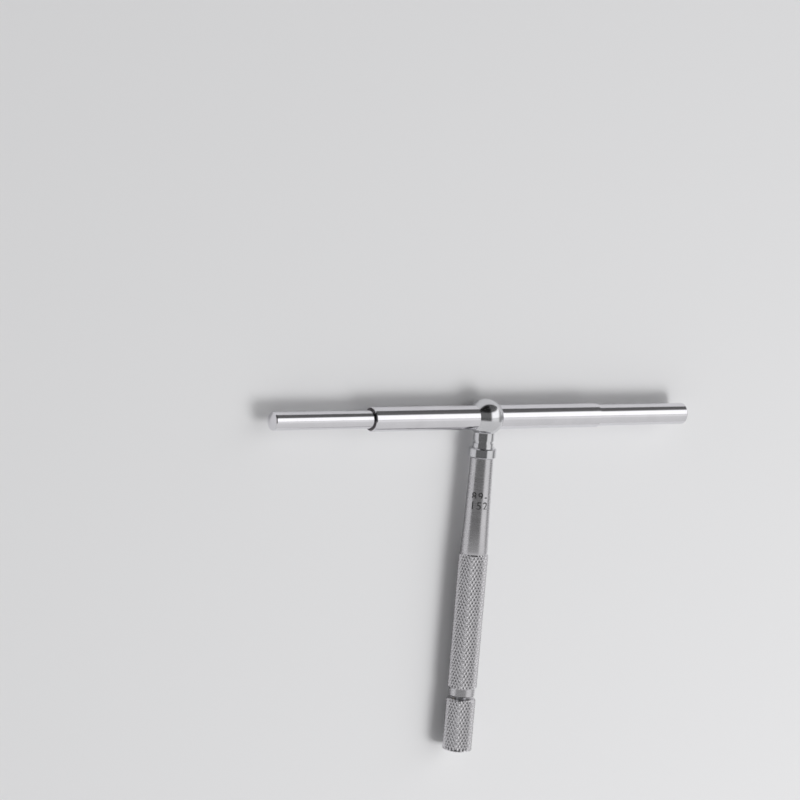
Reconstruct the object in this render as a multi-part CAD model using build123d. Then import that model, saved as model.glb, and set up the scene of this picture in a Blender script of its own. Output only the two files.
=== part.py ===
from build123d import *
import os
from math import asin, cos, sin, sqrt

# Telescoping gauge for bores of 89 to 152 mm, in millimetres, lying down with
# its arms at full reach. X runs along the bar, the handle points to -Y, Z is up.

# Reach and travel
reach_closed = 88.9
reach_open = 152.4
stroke = (reach_open - reach_closed) / 2

# Bar diameters and lengths
sleeve_od = 7.5
sleeve_wall = 0.37
sleeve_length = 83.0
running_gap = 0.03
large_arm_wall = 0.57
edge_break = 0.3
arm_tip_dome = 0.5
arm_tip_round = 0.45

# Overlap of the arms about the middle of the bar
large_arm_tail = 3.5
small_arm_tail = 3.0
bush_length = 4.5
bush_inset = 0.3
tip_plug_length = 3.5
tip_plug_flange = 1.0

# Head, neck and collar
ball_diameter = 11.3
neck_diameter = 6.4
neck_groove_at = 7.5
neck_groove_width = 0.8
neck_groove_depth = 0.35
collar_start = 9.3
collar_length = 3.0
collar_od = 8.4
spigot_diameter = 5.0
spigot_length = 4.7

# Handle and grip
handle_top_diameter = 7.0
handle_mid_at = 33.0
handle_mid_diameter = 7.85
handle_low_at = 41.0
handle_low_diameter = 8.4
grip_start = 42.0
grip_length = 42.0
grip_diameter = 9.0
grip_bevel = 0.4
handle_end_lip = 2.5
handle_end_diameter = 8.0

# Lock parts
pin_diameter = 2.0
pin_slot_clearance = 0.1
pin_end_gap = 0.35
groove_floor = 2.15
spring_bore = 3.0
slot_end_clearance = 0.15
pin_head_diameter = 3.0
pin_head_length = 1.2
pin_head_room = 0.6
rod_diameter = 2.8
rod_bore = 3.4
thrust_ball_diameter = 3.0
screw_diameter = 4.0
screw_radial_gap = 0.05
thread_bush_od = 6.0
thread_bush_length = 12.0
thread_bush_lead = 0.6
thread_bush_recess = 1.1

# Lock knob
knob_gap = 0.8
knob_length = 17.05
knob_diameter = 9.0
knob_dome = 1.0
knob_socket_depth = 10.0
knob_bevel = 0.4

# Spring in the arms
spring_od = 2.8
spring_wire = 0.5
spring_turns = 16

# Worked out from the sizes above
sleeve_bore = sleeve_od - 2 * sleeve_wall
large_arm_od = sleeve_bore - 2 * running_gap
large_arm_bore = large_arm_od - 2 * large_arm_wall
small_arm_od = large_arm_bore - 2 * running_gap
half_reach = reach_open / 2
half_sleeve = sleeve_length / 2
slot_width = pin_diameter + 2 * pin_slot_clearance
slot_short_end = slot_width / 2 + slot_end_clearance - pin_slot_clearance
slot_long_end = slot_short_end + stroke
spigot_end = collar_start + collar_length + spigot_length
handle_start = collar_start + collar_length
grip_end = grip_start + grip_length
handle_end = grip_end + handle_end_lip
knob_start = handle_end + knob_gap
knob_end = knob_start + knob_length
pin_tip_at = groove_floor + pin_end_gap
pin_foot_at = handle_start + pin_head_length
bush_start = handle_end - thread_bush_recess - thread_bush_length
thrust_ball_end = bush_start + thread_bush_lead
rod_end_at = thrust_ball_end - thrust_ball_diameter
small_bore_end = -slot_long_end
tip_plug_inner = half_reach - arm_tip_dome - tip_plug_length

# The ball rests on z = 0, and the middle of the outline is the origin
axis_z = ball_diameter / 2
ball_y = (knob_end - ball_diameter / 2) / 2
HEAD = Location((0, ball_y, axis_z))


def bar_tube(points):
    """A solid turned about the bar from corners given as (x, radius)."""
    face = make_face(Polyline(*points, close=True))
    return HEAD * revolve(face, Axis.X)


def handle_turned(points):
    """A solid turned about the handle from corners (radius, distance from ball)."""
    outline = [(radius, -along) for radius, along in points]
    face = make_face(Polyline(*outline, close=True))
    return HEAD * revolve(face, Axis.Y)


def handle_rod(diameter, start, end):
    """A plain rod along the handle between two distances from the ball centre."""
    radius = diameter / 2
    return handle_turned([(0, start), (radius, start), (radius, end), (0, end)])


def side_slot(width, x_from, x_to, floor, depth):
    """A cutter on the handle's side of the bar, from the floor radius outwards."""
    length = x_to - x_from
    straight = Box(length - width, depth, width)
    ends = [Pos(side * (length - width) / 2, 0, 0) * Rot(90, 0, 0)
            * Cylinder(width / 2, depth) for side in (-1, 1)]
    cutter = straight + ends[0] + ends[1]
    middle = Pos((x_from + x_to) / 2, -(floor + depth / 2), 0)
    return HEAD * middle * cutter


def make_sleeve():
    outer = sleeve_od / 2
    inner = sleeve_bore / 2
    bevel = sleeve_wall / 2
    tube = bar_tube([
        (-half_sleeve, inner), (-half_sleeve, outer - bevel),
        (-half_sleeve + bevel, outer), (half_sleeve - bevel, outer),
        (half_sleeve, outer - bevel), (half_sleeve, inner),
    ])
    return tube - handle_rod(slot_width, inner / 2, outer + sleeve_wall)


def make_small_arm_bush():
    start = -half_sleeve + bush_inset
    end = start + bush_length
    return bar_tube([
        (start, large_arm_bore / 2), (start, sleeve_bore / 2),
        (end, sleeve_bore / 2), (end, large_arm_bore / 2),
    ])


def cap_arc(start, flat, height, direction):
    """A spherical cap's arc from (start, flat) to the axis, bulging by height."""
    sphere_r = (flat ** 2 + height ** 2) / (2 * height)
    half_angle = asin(flat / sphere_r) / 2
    centre = start + direction * (height - sphere_r)
    middle = (centre + direction * sphere_r * cos(half_angle), sphere_r * sin(half_angle))
    return ThreePointArc((start, flat), middle, (start + direction * height, 0))


def domed_rod(x_back, x_end, radius):
    """A rod along the bar from x_back to a slightly domed, round-edged end at x_end."""
    direction = 1 if x_end > x_back else -1
    rim = x_end - direction * arm_tip_dome
    shoulder = rim - direction * arm_tip_round
    flat = radius - arm_tip_round
    lean = arm_tip_round * sqrt(0.5)
    edge = ThreePointArc((shoulder, radius), (shoulder + direction * lean, flat + lean), (rim, flat))
    cap = cap_arc(rim, flat, arm_tip_dome, direction)
    back = Polyline((x_end, 0), (x_back, 0), (x_back, radius), (shoulder, radius))
    return HEAD * revolve(make_face(Curve() + [back, edge, cap]), Axis.X)


def make_small_arm():
    body = domed_rod(small_arm_tail, -half_reach, small_arm_od / 2)
    bore = bar_tube([
        (small_bore_end, 0), (small_bore_end, spring_bore / 2),
        (small_arm_tail + 1, spring_bore / 2), (small_arm_tail + 1, 0),
    ])
    groove = side_slot(slot_width, -slot_long_end, slot_short_end, groove_floor, small_arm_od)
    return body - bore - groove


def make_large_arm():
    outer = large_arm_od / 2
    inner = large_arm_bore / 2
    end = half_reach - arm_tip_dome - tip_plug_flange
    tube = bar_tube([
        (-large_arm_tail, inner), (-large_arm_tail, outer),
        (end, outer), (end, inner),
    ])
    slot = side_slot(slot_width, -slot_short_end, slot_long_end, inner / 2, large_arm_od)
    return tube - slot


def make_large_arm_tip():
    flange_back = half_reach - arm_tip_dome - tip_plug_flange
    flange = domed_rod(flange_back, half_reach, large_arm_od / 2)
    plug = bar_tube([
        (tip_plug_inner, 0), (tip_plug_inner, large_arm_bore / 2),
        (flange_back, large_arm_bore / 2), (flange_back, 0),
    ])
    return flange + plug


def make_head_ball():
    ball_r = ball_diameter / 2
    neck_r = neck_diameter / 2
    groove_r = neck_r - neck_groove_depth
    groove_a = neck_groove_at - neck_groove_width / 2
    groove_b = neck_groove_at + neck_groove_width / 2
    neck_top = sqrt(ball_r ** 2 - neck_r ** 2)
    ball = ThreePointArc((0, ball_r), (ball_r, 0), (neck_r, -neck_top))
    neck = Polyline(
        (neck_r, -neck_top), (neck_r, -groove_a), (groove_r, -groove_a),
        (groove_r, -groove_b), (neck_r, -groove_b), (neck_r, -collar_start),
        (spigot_diameter / 2, -collar_start), (spigot_diameter / 2, -spigot_end),
        (0, -spigot_end), (0, ball_r))
    head = HEAD * revolve(make_face(Curve() + [ball, neck]), Axis.Y)
    cross_bore = HEAD * Rot(0, 90, 0) * Cylinder(sleeve_od / 2, 2 * ball_diameter)
    pin_bore = handle_rod(slot_width, 0, spigot_end + 1)
    rod_room = handle_rod(rod_bore, handle_start - pin_head_room, spigot_end + 1)
    return head - cross_bore - pin_bore - rod_room


def make_collar():
    outer = collar_od / 2
    inner = spigot_diameter / 2
    end = collar_start + collar_length
    return handle_turned([
        (inner, collar_start), (outer - edge_break, collar_start),
        (outer, collar_start + edge_break), (outer, end - edge_break),
        (outer - edge_break, end), (inner, end),
    ])


def make_handle():
    grip_r = grip_diameter / 2
    outline = [
        (rod_bore / 2, spigot_end), (spigot_diameter / 2, spigot_end),
        (spigot_diameter / 2, handle_start), (handle_top_diameter / 2, handle_start),
        (handle_mid_diameter / 2, handle_mid_at), (handle_low_diameter / 2, handle_low_at),
        (grip_r - grip_bevel, grip_start), (grip_r, grip_start + grip_bevel),
        (grip_r, grip_end - grip_bevel), (grip_r - grip_bevel, grip_end),
        (handle_end_diameter / 2, grip_end), (handle_end_diameter / 2, handle_end),
        (thread_bush_od / 2, handle_end), (thread_bush_od / 2, bush_start),
        (rod_bore / 2, bush_start),
    ]
    return handle_turned(outline)


def make_thread_bush():
    outer = thread_bush_od / 2
    inner = screw_diameter / 2 + screw_radial_gap
    end = bush_start + thread_bush_length
    return handle_turned([
        (inner, bush_start), (outer, bush_start), (outer, end), (inner, end),
    ])


def make_lock_pin():
    shank = handle_rod(pin_diameter, pin_tip_at, handle_start)
    head = handle_rod(pin_head_diameter, handle_start + running_gap, pin_foot_at)
    neck = handle_rod(pin_diameter, handle_start, pin_foot_at)
    return shank + neck + head


def make_lock_rod():
    return handle_rod(rod_diameter, pin_foot_at, rod_end_at)


def make_thrust_ball():
    radius = thrust_ball_diameter / 2
    middle = rod_end_at + radius
    return HEAD * Pos(0, -middle, 0) * Sphere(radius)


def make_lock_screw():
    end = knob_start + knob_socket_depth
    return handle_rod(screw_diameter, thrust_ball_end, end)


def make_lock_knob():
    radius = knob_diameter / 2
    socket = knob_start + knob_socket_depth
    shoulder = knob_end - knob_dome
    sides = Polyline(
        (0, -knob_end), (0, -socket), (screw_diameter / 2, -socket),
        (screw_diameter / 2, -knob_start), (radius - knob_bevel, -knob_start),
        (radius, -knob_start - knob_bevel), (radius, -shoulder))
    sphere_r = (radius ** 2 + knob_dome ** 2) / (2 * knob_dome)
    half_angle = asin(radius / sphere_r) / 2
    centre = knob_end - sphere_r
    middle = (sphere_r * sin(half_angle), -centre - sphere_r * cos(half_angle))
    dome = ThreePointArc((radius, -shoulder), middle, (0, -knob_end))
    return HEAD * revolve(make_face(Curve() + [sides, dome]), Axis.Y)


def make_arm_spring():
    """The flat-sided coil that pushes both arms out, from the small arm to the tip plug."""
    coil_r = (spring_od - spring_wire * sqrt(2)) / 2
    start = small_bore_end + spring_wire
    end = tip_plug_inner - spring_wire
    height = end - start
    path = Helix(height / spring_turns, height, coil_r)
    section = Plane(path @ 0, x_dir=(1, 0, 0), z_dir=path % 0) * Rectangle(spring_wire, spring_wire)
    coil = sweep(section, path=path, is_frenet=True)
    return HEAD * Pos(start, 0, 0) * Rot(0, 90, 0) * coil


pieces = {
    "sleeve": make_sleeve,
    "small_arm_bush": make_small_arm_bush,
    "small_arm": make_small_arm,
    "large_arm": make_large_arm,
    "large_arm_tip": make_large_arm_tip,
    "arm_spring": make_arm_spring,
    "head_ball": make_head_ball,
    "collar": make_collar,
    "handle": make_handle,
    "thread_bush": make_thread_bush,
    "lock_pin": make_lock_pin,
    "lock_rod": make_lock_rod,
    "thrust_ball": make_thrust_ball,
    "lock_screw": make_lock_screw,
    "lock_knob": make_lock_knob,
}

os.makedirs("parts", exist_ok=True)
for name, make in pieces.items():
    export_step(make(), f"parts/{name}.step")
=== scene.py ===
import math

import bmesh
import bpy
from mathutils import Matrix, Vector


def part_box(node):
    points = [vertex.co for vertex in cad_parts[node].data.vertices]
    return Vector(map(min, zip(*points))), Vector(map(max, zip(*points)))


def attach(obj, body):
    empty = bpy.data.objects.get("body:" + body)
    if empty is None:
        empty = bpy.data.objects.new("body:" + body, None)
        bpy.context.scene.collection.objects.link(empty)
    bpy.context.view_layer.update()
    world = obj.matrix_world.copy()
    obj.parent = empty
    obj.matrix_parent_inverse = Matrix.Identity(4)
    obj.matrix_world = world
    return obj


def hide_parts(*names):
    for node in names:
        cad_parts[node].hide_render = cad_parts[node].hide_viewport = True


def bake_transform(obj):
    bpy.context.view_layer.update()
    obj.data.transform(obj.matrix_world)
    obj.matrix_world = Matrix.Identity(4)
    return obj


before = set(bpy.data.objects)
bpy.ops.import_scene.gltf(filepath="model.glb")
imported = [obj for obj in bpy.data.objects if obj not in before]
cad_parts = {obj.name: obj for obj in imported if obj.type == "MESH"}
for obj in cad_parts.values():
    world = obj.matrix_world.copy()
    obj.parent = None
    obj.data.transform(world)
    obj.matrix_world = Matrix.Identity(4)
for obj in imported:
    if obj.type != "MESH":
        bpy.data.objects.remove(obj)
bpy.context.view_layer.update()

MM = 0.001

# The photograph's viewpoint, in metres in the part's own frame
CAMERA_AT = Vector((-0.57305, 0.19784, 0.80745))
CAMERA_AIM = Vector((-0.03162, 0.05503, 0.00565))
CAMERA_UP = Vector((0.01311, 0.98591, -0.16674))
LENS_MM = 148.0

# The handle's axis, from the ball's box in the frame
ball_low, ball_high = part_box("head_ball")
BALL_R = (ball_high.z - ball_low.z) / 2
AXIS_Z = (ball_low.z + ball_high.z) / 2
BALL_Y = ball_high.y - BALL_R

# Knurled zones: distance from the ball's centre, in metres
handle_low, handle_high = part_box("handle")
knob_low, knob_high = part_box("lock_knob")
GRIP_START = 0.042
GRIP_END = 0.084
GRIP_R = (handle_high.x - handle_low.x) / 2
HANDLE_START = BALL_Y - handle_high.y
HANDLE_END = BALL_Y - handle_low.y
KNOB_START = BALL_Y - knob_high.y
KNOB_END = BALL_Y - knob_low.y

# The handle's bores, seats and taper, as in the solids; the taper is (radius, distance from its top)
ROD_BORE_R = 1.7 * MM
SPIGOT_R = 2.5 * MM
SPIGOT_DEPTH = 4.7 * MM
BUSH_SEAT_R = 3.0 * MM
BUSH_SEAT_START = 73.4 * MM
END_LIP_R = 4.0 * MM
END_BEVEL = 0.2 * MM
HANDLE_TAPER = (
    (3.35 * MM, 0.0),
    (3.5 * MM, 0.15 * MM),
    (3.925 * MM, 20.7 * MM),
    (4.2 * MM, 28.7 * MM),
)

# The knob's socket, dome and the small mark in its middle
SOCKET_R = 2.0 * MM
SOCKET_DEPTH = 10.0 * MM
KNOB_DOME = 1.0 * MM
DOME_STEPS = 8
CENTRE_MARK_R = 0.05 * MM

# The diamond knurl
KNURL_PITCH = 1.05 * MM
KNURL_DEPTH = 0.26 * MM
KNURL_STRETCH = 1.75
KNURL_EDGE = 0.4 * MM
KNURL_STEPS = 8
KNURL_RING = 0.17 * MM

# Numbers on the handle
LETTER_HEIGHT = 2.3 * MM
LETTER_SIZE = 1.45
LETTER_SPACE = 1.2
LETTER_DEPTH = 0.03 * MM

# Light: the brightness of the white window, and the lamp
WINDOW_LEVEL = 1.3
LAMP_AT = (0.45, -0.4, 0.9)
LAMP_SIZE = 0.5
LAMP_WATTS = 5.5

# The arms' spring: it is drawn in two halves
COIL_TURNS = 20
COIL_STEPS = 20
COIL_SIDES = 8
COIL_R = 1.05 * MM
COIL_WIRE_R = 0.22 * MM


def handle_point(radius, turn, along):
    """A point around the handle: turn is 0 at the top, along is from the ball's centre."""
    return Vector((radius * math.sin(turn), BALL_Y - along, AXIS_Z + radius * math.cos(turn)))


def smooth_step(low, high, value):
    share = min(max((value - low) / (high - low), 0.0), 1.0)
    return share * share * (3 - 2 * share)


def knurl_height(turn, along, radius):
    """Depth of the diamond knurl under its crests, from 0 at a crest to 1 in a groove."""
    count = round(2 * math.pi * radius / KNURL_PITCH)
    around = turn / (2 * math.pi) * count
    down = along / (KNURL_PITCH * KNURL_STRETCH)
    ways = (around + down, around - down)
    return max(abs(2 * (way % 1.0) - 1) for way in ways)


def turned_piece(name, outline, knurls=()):
    """A closed turned piece from (radius, along) corners, with knurled stretches of its outside."""
    count = round(2 * math.pi * GRIP_R / KNURL_PITCH)
    segments = count * KNURL_STEPS
    mesh = bmesh.new()
    rings = []
    for radius, along in outline:
        ring = []
        for step in range(segments):
            turn = 2 * math.pi * step / segments
            cut = 0.0
            for start, end in knurls:
                if start < along < end and radius > GRIP_R * 0.9:
                    fade = smooth_step(start, start + KNURL_EDGE, along)
                    fade *= smooth_step(end, end - KNURL_EDGE, along)
                    cut = KNURL_DEPTH * fade * knurl_height(turn, along, radius) ** 1.5
            ring.append(mesh.verts.new(handle_point(radius - cut, turn, along)))
        rings.append(ring)
    for a, b in zip(rings, rings[1:] + rings[:1]):
        for step in range(segments):
            after = (step + 1) % segments
            mesh.faces.new((a[step], a[after], b[after], b[step]))
    bmesh.ops.recalc_face_normals(mesh, faces=mesh.faces)
    return finish_mesh(mesh, name)


def finish_mesh(mesh, name):
    data = bpy.data.meshes.new(name)
    mesh.to_mesh(data)
    mesh.free()
    piece = bpy.data.objects.new(name, data)
    bpy.context.scene.collection.objects.link(piece)
    for face in data.polygons:
        face.use_smooth = True
    data.set_sharp_from_angle(angle=math.radians(30))
    return piece


def knurl_rings(start, end, radius):
    steps = math.ceil((end - start) / KNURL_RING)
    return [(radius, start + (end - start) * step / steps) for step in range(steps + 1)]


def make_handle():
    """The handle: a fine chamfer under the collar, a long taper, and the knurled grip."""
    spigot_end = HANDLE_START + SPIGOT_DEPTH
    outline = [(ROD_BORE_R, spigot_end), (SPIGOT_R, spigot_end), (SPIGOT_R, HANDLE_START)]
    outline += [(radius, HANDLE_START + along) for radius, along in HANDLE_TAPER]
    outline += [(GRIP_R - KNURL_EDGE, GRIP_START)]
    outline += knurl_rings(GRIP_START + KNURL_EDGE, GRIP_END - KNURL_EDGE, GRIP_R)
    outline += [(GRIP_R - KNURL_EDGE, GRIP_END), (END_LIP_R, GRIP_END)]
    outline += [(END_LIP_R, HANDLE_END - END_BEVEL), (END_LIP_R - END_BEVEL, HANDLE_END)]
    outline += [(BUSH_SEAT_R, HANDLE_END), (BUSH_SEAT_R, BUSH_SEAT_START), (ROD_BORE_R, BUSH_SEAT_START)]
    return turned_piece("knurled_handle", outline, [(GRIP_START, GRIP_END)])


def make_knob():
    """The lock knob: knurled round its length, with a bevel and a low dome."""
    dome_start = KNOB_END - KNOB_DOME
    socket_end = KNOB_START + SOCKET_DEPTH
    outline = [(SOCKET_R, KNOB_START), (GRIP_R - KNURL_EDGE, KNOB_START)]
    outline += knurl_rings(KNOB_START + KNURL_EDGE, dome_start, GRIP_R)
    for step in range(1, DOME_STEPS):
        share = step / DOME_STEPS
        outline.append((GRIP_R * (1 - share), KNOB_END - KNOB_DOME * (1 - share) ** 2))
    outline += [(CENTRE_MARK_R, KNOB_END), (CENTRE_MARK_R, socket_end), (SOCKET_R, socket_end)]
    return turned_piece("knurled_knob", outline, [(KNOB_START, dome_start)])


def half_coil(name, start, end):
    """Half of the arms' spring, as a closed helical tube between two places along the bar."""
    steps = COIL_TURNS * COIL_STEPS
    mesh = bmesh.new()
    rings = []
    for step in range(steps + 1):
        turn = 2 * math.pi * step / COIL_STEPS
        x = start + (end - start) * step / steps
        ring = []
        for side in range(COIL_SIDES):
            lean = 2 * math.pi * side / COIL_SIDES
            radius = COIL_R + COIL_WIRE_R * math.cos(lean)
            along = x + COIL_WIRE_R * math.sin(lean)
            spot = (along, BALL_Y + radius * math.sin(turn), AXIS_Z + radius * math.cos(turn))
            ring.append(mesh.verts.new(spot))
        rings.append(ring)
    for a, b in zip(rings, rings[1:]):
        for side in range(COIL_SIDES):
            after = (side + 1) % COIL_SIDES
            mesh.faces.new((a[side], a[after], b[after], b[side]))
    mesh.faces.new(rings[0])
    mesh.faces.new(rings[-1])
    bmesh.ops.recalc_face_normals(mesh, faces=mesh.faces)
    return finish_mesh(mesh, name)


def range_numbers():
    """Generic plain numbers for the measuring range in millimetres, dark on the handle."""
    rows = (("89-", 24.0, 3.72), ("152", 26.9, 3.79))
    height = LETTER_HEIGHT
    facing = -math.radians(30)
    made = []
    for index, (words, along, radius) in enumerate(rows):
        curve = bpy.data.curves.new("range_words", "FONT")
        curve.body = words
        curve.size = height * LETTER_SIZE
        curve.space_character = LETTER_SPACE
        curve.align_x = "CENTER"
        curve.align_y = "CENTER"
        curve.extrude = LETTER_DEPTH
        holder = bpy.data.objects.new("range_words", curve)
        bpy.context.scene.collection.objects.link(holder)
        bpy.context.view_layer.update()
        data = bpy.data.meshes.new_from_object(holder)
        bpy.data.objects.remove(holder)
        mesh = bmesh.new()
        mesh.from_mesh(data)
        bmesh.ops.subdivide_edges(mesh, edges=mesh.edges, cuts=2, use_grid_fill=True)
        bmesh.ops.triangulate(mesh, faces=mesh.faces)
        for vert in mesh.verts:
            out = radius * MM + vert.co.z
            turn = facing + vert.co.x / (radius * MM)
            vert.co = handle_point(out, turn, along * MM - vert.co.y)
        made.append(finish_mesh(mesh, f"range_numbers_{index}"))
    return made


def shader(name, colour, roughness, metallic=1.0):
    material = bpy.data.materials.new(name)
    material.use_nodes = True
    nodes = material.node_tree.nodes
    surface = nodes["Principled BSDF"]
    surface.inputs["Base Color"].default_value = (*colour, 1)
    surface.inputs["Roughness"].default_value = roughness
    surface.inputs["Metallic"].default_value = metallic
    return material, nodes, material.node_tree.links, surface


def metal(name, colour, roughness, stretch, bump, tint=0.06):
    """Metal with fine tool lines: stretch is the noise's scale along each axis."""
    material, nodes, links, surface = shader(name, colour, roughness)
    place = nodes.new("ShaderNodeTexCoord")
    scale = nodes.new("ShaderNodeMapping")
    scale.inputs["Scale"].default_value = stretch
    lines = nodes.new("ShaderNodeTexNoise")
    lines.inputs["Scale"].default_value = 1.0
    lines.inputs["Detail"].default_value = 4.0
    links.new(place.outputs["Object"], scale.inputs["Vector"])
    links.new(scale.outputs["Vector"], lines.inputs["Vector"])
    cloud = nodes.new("ShaderNodeTexNoise")
    cloud.inputs["Scale"].default_value = 180.0
    links.new(place.outputs["Object"], cloud.inputs["Vector"])
    shade = nodes.new("ShaderNodeValToRGB")
    shade.color_ramp.elements[0].color = (*[value * (1 - tint) for value in colour], 1)
    shade.color_ramp.elements[1].color = (*[min(value * (1 + tint), 1.0) for value in colour], 1)
    links.new(cloud.outputs["Fac"], shade.inputs["Fac"])
    links.new(shade.outputs["Color"], surface.inputs["Base Color"])
    gloss = nodes.new("ShaderNodeMapRange")
    gloss.inputs["To Min"].default_value = roughness * 0.75
    gloss.inputs["To Max"].default_value = roughness * 1.3
    links.new(lines.outputs["Fac"], gloss.inputs["Value"])
    links.new(gloss.outputs["Result"], surface.inputs["Roughness"])
    relief = nodes.new("ShaderNodeBump")
    relief.inputs["Strength"].default_value = bump
    relief.inputs["Distance"].default_value = 0.00002
    links.new(lines.outputs["Fac"], relief.inputs["Height"])
    links.new(relief.outputs["Normal"], surface.inputs["Normal"])
    return material


def dress(piece, material):
    if piece.data.materials:
        for index in range(len(piece.data.materials)):
            piece.material_slots[index].link = "OBJECT"
            piece.material_slots[index].material = material
    else:
        piece.data.materials.append(material)


def studio_world():
    """A soft studio: a white window to the right, dark beyond the far side, pale towards the front."""
    world = bpy.data.worlds.new("studio")
    bpy.context.scene.world = world
    world.use_nodes = True
    nodes, links = world.node_tree.nodes, world.node_tree.links
    place = nodes.new("ShaderNodeTexCoord")
    split = nodes.new("ShaderNodeSeparateXYZ")
    links.new(place.outputs["Generated"], split.inputs["Vector"])
    across = nodes.new("ShaderNodeValToRGB")
    across.color_ramp.interpolation = "EASE"
    stops = ((0.0, 0.13), (0.52, 0.12), (0.60, 1.0), (0.90, 1.0), (0.97, 0.35))
    fill_ramp(across, stops)
    share = nodes.new("ShaderNodeMapRange")
    share.inputs["From Min"].default_value = -1
    links.new(split.outputs["X"], share.inputs["Value"])
    links.new(share.outputs["Result"], across.inputs["Fac"])
    upright = nodes.new("ShaderNodeValToRGB")
    upright.color_ramp.interpolation = "EASE"
    fill_ramp(upright, ((0.0, 0.50), (0.36, 0.54), (0.40, 0.66), (0.495, 0.66), (0.51, 0.36), (0.53, 1.0),
                        (0.76, 1.0), (0.82, 0.10), (1.0, 0.08)))
    down = nodes.new("ShaderNodeMapRange")
    down.inputs["From Min"].default_value = -1
    links.new(split.outputs["Y"], down.inputs["Value"])
    links.new(down.outputs["Result"], upright.inputs["Fac"])
    front = nodes.new("ShaderNodeMapRange")
    front.interpolation_type = "SMOOTHSTEP"
    front.inputs["From Min"].default_value = -0.22
    front.inputs["From Max"].default_value = -0.30
    links.new(split.outputs["Y"], front.inputs["Value"])
    lit = nodes.new("ShaderNodeMix")
    lit.data_type = "RGBA"
    lit.blend_type = "MULTIPLY"
    lit.inputs["Factor"].default_value = 1.0
    links.new(across.outputs["Color"], lit.inputs["A"])
    links.new(upright.outputs["Color"], lit.inputs["B"])
    both = nodes.new("ShaderNodeMix")
    both.data_type = "RGBA"
    links.new(front.outputs["Result"], both.inputs["Factor"])
    links.new(lit.outputs["Result"], both.inputs["A"])
    links.new(upright.outputs["Color"], both.inputs["B"])
    back = nodes["Background"]
    links.new(both.outputs["Result"], back.inputs["Color"])
    back.inputs["Strength"].default_value = WINDOW_LEVEL


def fill_ramp(ramp, stops):
    elements = ramp.color_ramp.elements
    while len(elements) > 1:
        elements.remove(elements[-1])
    elements[0].position = stops[0][0]
    elements[0].color = (*[stops[0][1]] * 3, 1)
    for position, value in stops[1:]:
        elements.new(position).color = (value, value, value, 1)


def pale_floor():
    mesh = bmesh.new()
    bmesh.ops.create_grid(mesh, x_segments=1, y_segments=1, size=3.0)
    floor = finish_mesh(mesh, "floor")
    floor.data.materials.append(shader("floor_paper", (0.82, 0.82, 0.83), 0.9, 0.0)[0])


def soft_lamp(name, at, size, power):
    light = bpy.data.lights.new(name, "AREA")
    light.size = size
    light.energy = power
    lamp = bpy.data.objects.new(name, light)
    lamp.location = at
    lamp.visible_glossy = False
    aim = Vector((0, 0, 0)) - Vector(at)
    lamp.rotation_euler = aim.to_track_quat("-Z", "Y").to_euler()
    bpy.context.scene.collection.objects.link(lamp)


def photo_camera():
    data = bpy.data.cameras.new("camera")
    data.lens = LENS_MM
    data.sensor_width = 36
    data.clip_end = 20
    camera = bpy.data.objects.new("camera", data)
    back = (CAMERA_AT - CAMERA_AIM).normalized()
    right = CAMERA_UP.cross(back).normalized()
    up = back.cross(right)
    turn = Matrix((right, up, back)).transposed().to_4x4()
    camera.matrix_world = Matrix.Translation(CAMERA_AT) @ turn
    bpy.context.scene.collection.objects.link(camera)
    bpy.context.scene.camera = camera


bar_steel = metal("polished_bar", (0.78, 0.77, 0.80), 0.12, (9000, 400, 400), 0.03)
ball_steel = metal("polished_head", (0.70, 0.70, 0.72), 0.17, (500, 6000, 500), 0.03)
handle_steel = metal("satin_handle", (0.64, 0.63, 0.65), 0.27, (300, 9000, 300), 0.05)
inner_steel = metal("ground_inner", (0.55, 0.55, 0.57), 0.3, (4000, 4000, 400), 0.2)
# Painted shade: the small arm's bush is coloured near-black to stand for the dark gap at the sleeve's
# left end
bush_shade_steel = metal("bush_painted_shade", (0.16, 0.15, 0.15), 0.4, (8000, 400, 400), 0.1)
brass = metal("turned_brass", (0.72, 0.50, 0.20), 0.28, (8000, 400, 400), 0.2)
ink = shader("number_grooves", (0.03, 0.03, 0.03), 0.8, 0.0)[0]

finishes = {
    "sleeve": bar_steel, "small_arm": bar_steel, "large_arm": bar_steel, "large_arm_tip": bar_steel,
    "head_ball": ball_steel, "collar": ball_steel, "small_arm_bush": bush_shade_steel, "thread_bush": brass,
    "lock_pin": inner_steel, "lock_rod": inner_steel,
    "thrust_ball": inner_steel, "lock_screw": inner_steel,
}
for node, material in finishes.items():
    dress(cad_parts[node], material)

handle = make_handle()
dress(handle, handle_steel)
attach(handle, "gauge_body")
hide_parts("handle")

knob = make_knob()
dress(knob, handle_steel)
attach(knob, "lock_knob")
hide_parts("lock_knob")

coil_low, coil_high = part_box("arm_spring")
coil_start = coil_low.x + COIL_WIRE_R
coil_end = coil_high.x - COIL_WIRE_R
coil_middle = (coil_start + coil_end) / 2
left_coil = half_coil("arm_spring_left", coil_start, coil_middle)
right_coil = half_coil("arm_spring_right", coil_middle, coil_end)
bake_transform(left_coil)
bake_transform(right_coil)
for coil in (left_coil, right_coil):
    dress(coil, inner_steel)
    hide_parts("arm_spring")

for numbers in range_numbers():
    dress(numbers, ink)
    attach(numbers, "gauge_body")

studio_world()
pale_floor()
soft_lamp("key_lamp", LAMP_AT, LAMP_SIZE, LAMP_WATTS)
photo_camera()
bpy.context.scene.view_settings.view_transform = "Standard"
